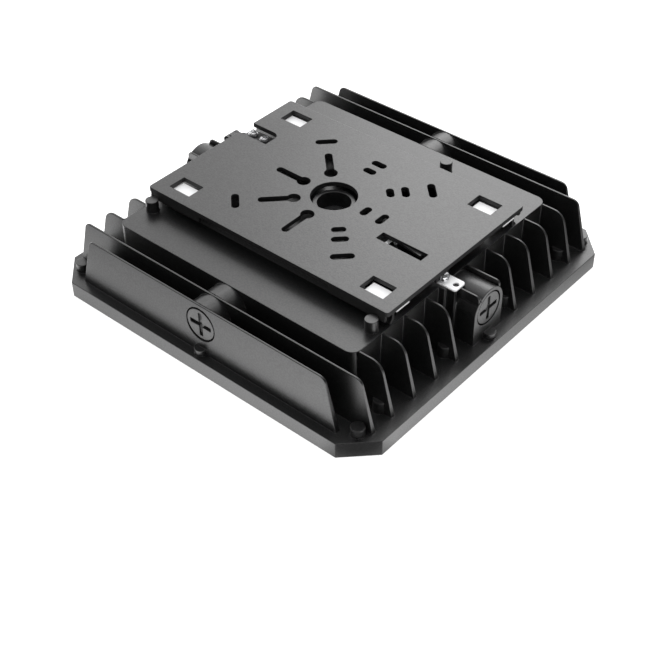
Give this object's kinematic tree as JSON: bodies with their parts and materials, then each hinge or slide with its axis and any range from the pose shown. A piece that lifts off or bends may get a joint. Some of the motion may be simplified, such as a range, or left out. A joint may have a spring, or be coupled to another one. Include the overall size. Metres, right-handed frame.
{
  "type": "canopy light",
  "caption": "Square die-cast canopy light with cooling fins, swing-down steel mounting plate, threaded conduit plugs and a flat lens on the far side.",
  "frame": {"origin": "centre of the base's lower plane, the lens side, on which the light stands in the picture", "axes": "+Z towards the ceiling, +X from the hinge to the latch along the fins, +Y to the side with the notch and the hinge screws"},
  "size_m": [0.254, 0.254, 0.0576],
  "materials": {
    "black_casting": "satin black powder coat on an aluminium die casting",
    "black_sheet": "satin black powder coat on steel sheet",
    "black_plug": "black powder coat on an aluminium plug",
    "black_rubber": "matte",
    "pale_rubber": "matte silicone",
    "lens": "frosted lens",
    "zinc": "bright zinc plate",
    "case_steel": "plain steel sheet",
    "white_sheet": "white reflector paint on aluminium sheet",
    "board_aluminium": "white solder mask on aluminium",
    "emitter": "yellow phosphor",
    "white_plastic": "moulded",
    "circuit": "green circuit board",
    "lug_brass": "tinned copper alloy",
    "green_screw": "green",
    "screw_steel": "plated"
  },
  "bodies": {
    "fixture": {"housing": "black_casting", "lens_frame": "black_casting", "lens": "lens", "lens_gasket": "pale_rubber", "frame_screws": "screw_steel", "led_tray": "white_sheet", "tray_screws": "screw_steel", "tray_grommet": "black_rubber", "led_board": "board_aluminium", "leds": "emitter", "board_connector": "white_plastic", "board_screws": "screw_steel", "driver_case": "case_steel", "driver_lid": "case_steel", "driver_board": "circuit", "driver_screws": "screw_steel", "terminal_block": "white_plastic", "terminal_mount_screws": "screw_steel", "terminal_clamp_screws": "zinc", "ground_lug": "lug_brass", "ground_screw": "green_screw", "hub_grommet": "black_rubber", "hinge_bracket": "black_sheet", "hinge_screws": "zinc", "hinge_pin": "screw_steel", "clip_front_left": "zinc", "clip_front_right": "zinc", "clip_back_left": "zinc", "clip_back_right": "zinc", "clip_screws": "zinc", "rest_bar": "zinc", "latch_bracket": "zinc", "latch_rivet": "zinc"},
    "plate": {"mounting_plate": "black_sheet"},
    "lock_washer": {"lock_washer": "zinc"},
    "lock_screw": {"lock_screw": "zinc"},
    "seal_right": {"seal_right": "black_rubber"},
    "plug_right": {"plug_right": "black_plug"},
    "seal_back": {"seal_back": "black_rubber"},
    "plug_back": {"plug_back": "black_plug"},
    "seal_left": {"seal_left": "black_rubber"},
    "plug_left": {"plug_left": "black_plug"},
    "seal_front": {"seal_front": "black_rubber"},
    "plug_front": {"plug_front": "black_plug"}
  },
  "joints": [
    {"name": "plate_hinge", "type": "hinge", "parent": "fixture", "child": "plate", "pos_m": [-0.0995, 0.0127, 0.0532], "axis": [0, -1, 0], "range_deg": [0, 100]},
    {"name": "lock_travel", "type": "slide", "parent": "fixture", "child": "lock_washer", "axis": [1, 0, 0], "range_m": [0, 0.00246]},
    {"name": "lock_turn", "type": "hinge", "parent": "lock_washer", "child": "lock_screw", "pos_m": [0.094, -0.0128, 0.0505], "axis": [1, 0, 0], "range_deg": [0, 1266]},
    {"name": "plug_right_travel", "type": "slide", "parent": "fixture", "child": "seal_right", "axis": [1, 0, 0], "range_m": [0, 0.01]},
    {"name": "plug_right_turn", "type": "hinge", "parent": "seal_right", "child": "plug_right", "pos_m": [0.119, 0, 0.0315], "axis": [1, 0, 0], "range_deg": [0, 1985]},
    {"name": "plug_back_travel", "type": "slide", "parent": "fixture", "child": "seal_back", "axis": [0, 1, 0], "range_m": [0, 0.01]},
    {"name": "plug_back_turn", "type": "hinge", "parent": "seal_back", "child": "plug_back", "pos_m": [0, 0.1199, 0.0315], "axis": [0, 1, 0], "range_deg": [0, 1985]},
    {"name": "plug_left_travel", "type": "slide", "parent": "fixture", "child": "seal_left", "axis": [-1, 0, 0], "range_m": [0, 0.01]},
    {"name": "plug_left_turn", "type": "hinge", "parent": "seal_left", "child": "plug_left", "pos_m": [-0.119, 0, 0.0315], "axis": [-1, 0, 0], "range_deg": [0, 1985]},
    {"name": "plug_front_travel", "type": "slide", "parent": "fixture", "child": "seal_front", "axis": [0, -1, 0], "range_m": [0, 0.01]},
    {"name": "plug_front_turn", "type": "hinge", "parent": "seal_front", "child": "plug_front", "pos_m": [0, -0.1199, 0.0315], "axis": [0, -1, 0], "range_deg": [0, 1985]}
  ],
  "couplings": [
    {"joint": "lock_turn", "follows": "lock_travel", "rad_per_m": 8976},
    {"joint": "plug_right_turn", "follows": "plug_right_travel", "rad_per_m": 3463.7},
    {"joint": "plug_back_turn", "follows": "plug_back_travel", "rad_per_m": 3463.7},
    {"joint": "plug_left_turn", "follows": "plug_left_travel", "rad_per_m": 3463.7},
    {"joint": "plug_front_turn", "follows": "plug_front_travel", "rad_per_m": 3463.7}
  ]
}
